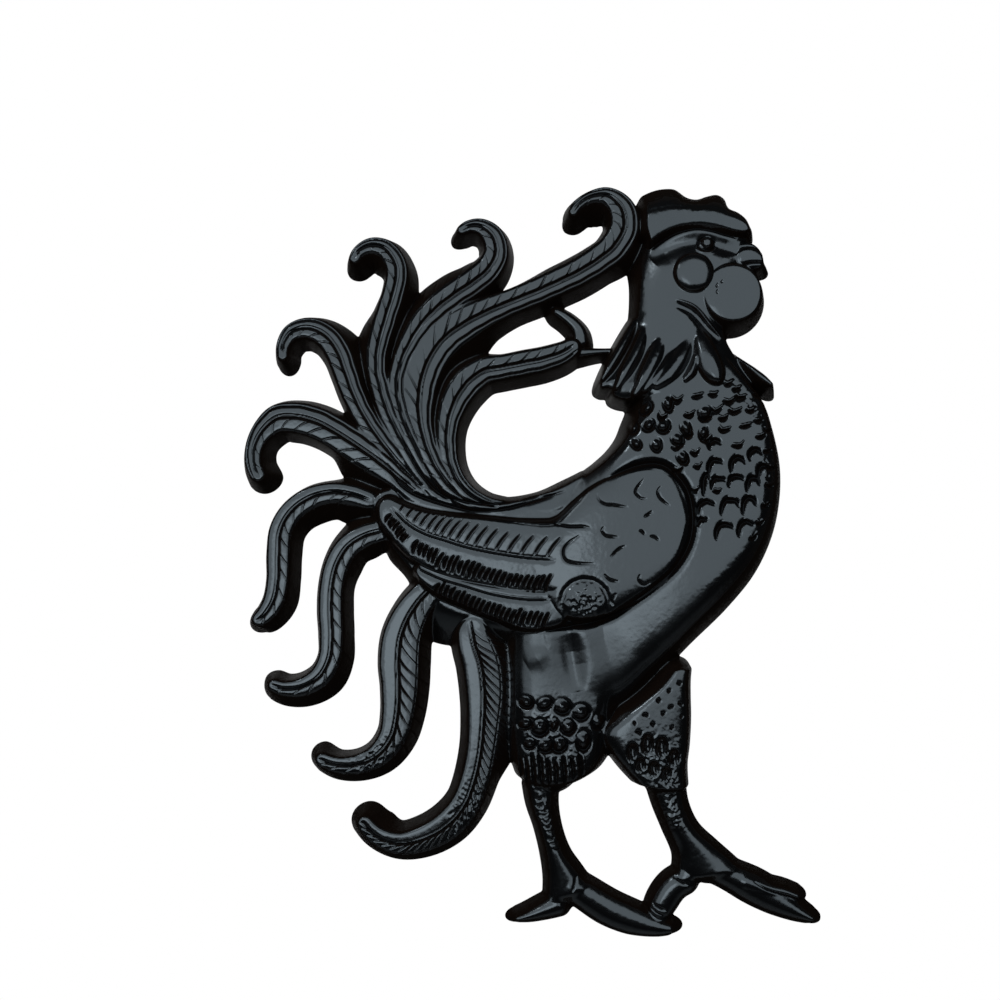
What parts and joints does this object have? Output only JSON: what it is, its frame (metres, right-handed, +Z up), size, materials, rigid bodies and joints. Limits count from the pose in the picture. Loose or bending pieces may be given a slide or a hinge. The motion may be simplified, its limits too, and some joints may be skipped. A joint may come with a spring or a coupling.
{
  "type": "rooster wall hanging",
  "caption": "Openwork relief of a standing rooster, cast in metal with a hollow back and hung on two hinged ring hangers.",
  "frame": {"origin": "on the wall plane, midway between the two wall hooks, at the height where they bear in the hanger rings", "axes": "+Z up, +Y into the wall, -Y out to the viewer, +X to the viewer's right, where the rooster faces"},
  "size_m": [0.2939, 0.028, 0.3805],
  "materials": {
    "enamel": "thick gloss black enamel over the casting",
    "strap_zinc": "zinc-plated pressed strip",
    "ring_zinc": "zinc-plated wire",
    "screw_zinc": "zinc-plated pan head"
  },
  "bodies": {
    "casting": {"body": "enamel", "head": "enamel", "left_leg": "enamel", "right_leg": "enamel", "tail_feather_1": "enamel", "tail_feather_2": "enamel", "tail_feather_3": "enamel", "tail_feather_4": "enamel", "tail_feather_5": "enamel", "tail_feather_6": "enamel", "sickle_feather_1": "enamel", "sickle_feather_2": "enamel", "sickle_feather_3": "enamel", "sickle_feather_4": "enamel", "left_hanger_strap": "strap_zinc", "left_hanger_screw_1": "screw_zinc", "left_hanger_screw_2": "screw_zinc", "right_hanger_strap": "strap_zinc", "right_hanger_screw_1": "screw_zinc", "right_hanger_screw_2": "screw_zinc"},
    "left_ring": {"left_hanger_ring": "ring_zinc"},
    "right_ring": {"right_hanger_ring": "ring_zinc"}
  },
  "joints": [
    {"name": "left_ring_hinge", "type": "hinge", "parent": "casting", "child": "left_ring", "pos_m": [-0.06, -0.00345, -0.0098], "axis": [-1, 0, 0], "range_deg": [-20, 165]},
    {"name": "right_ring_hinge", "type": "hinge", "parent": "casting", "child": "right_ring", "pos_m": [0.06, -0.00345, -0.0098], "axis": [-1, 0, 0], "range_deg": [-20, 165]}
  ]
}
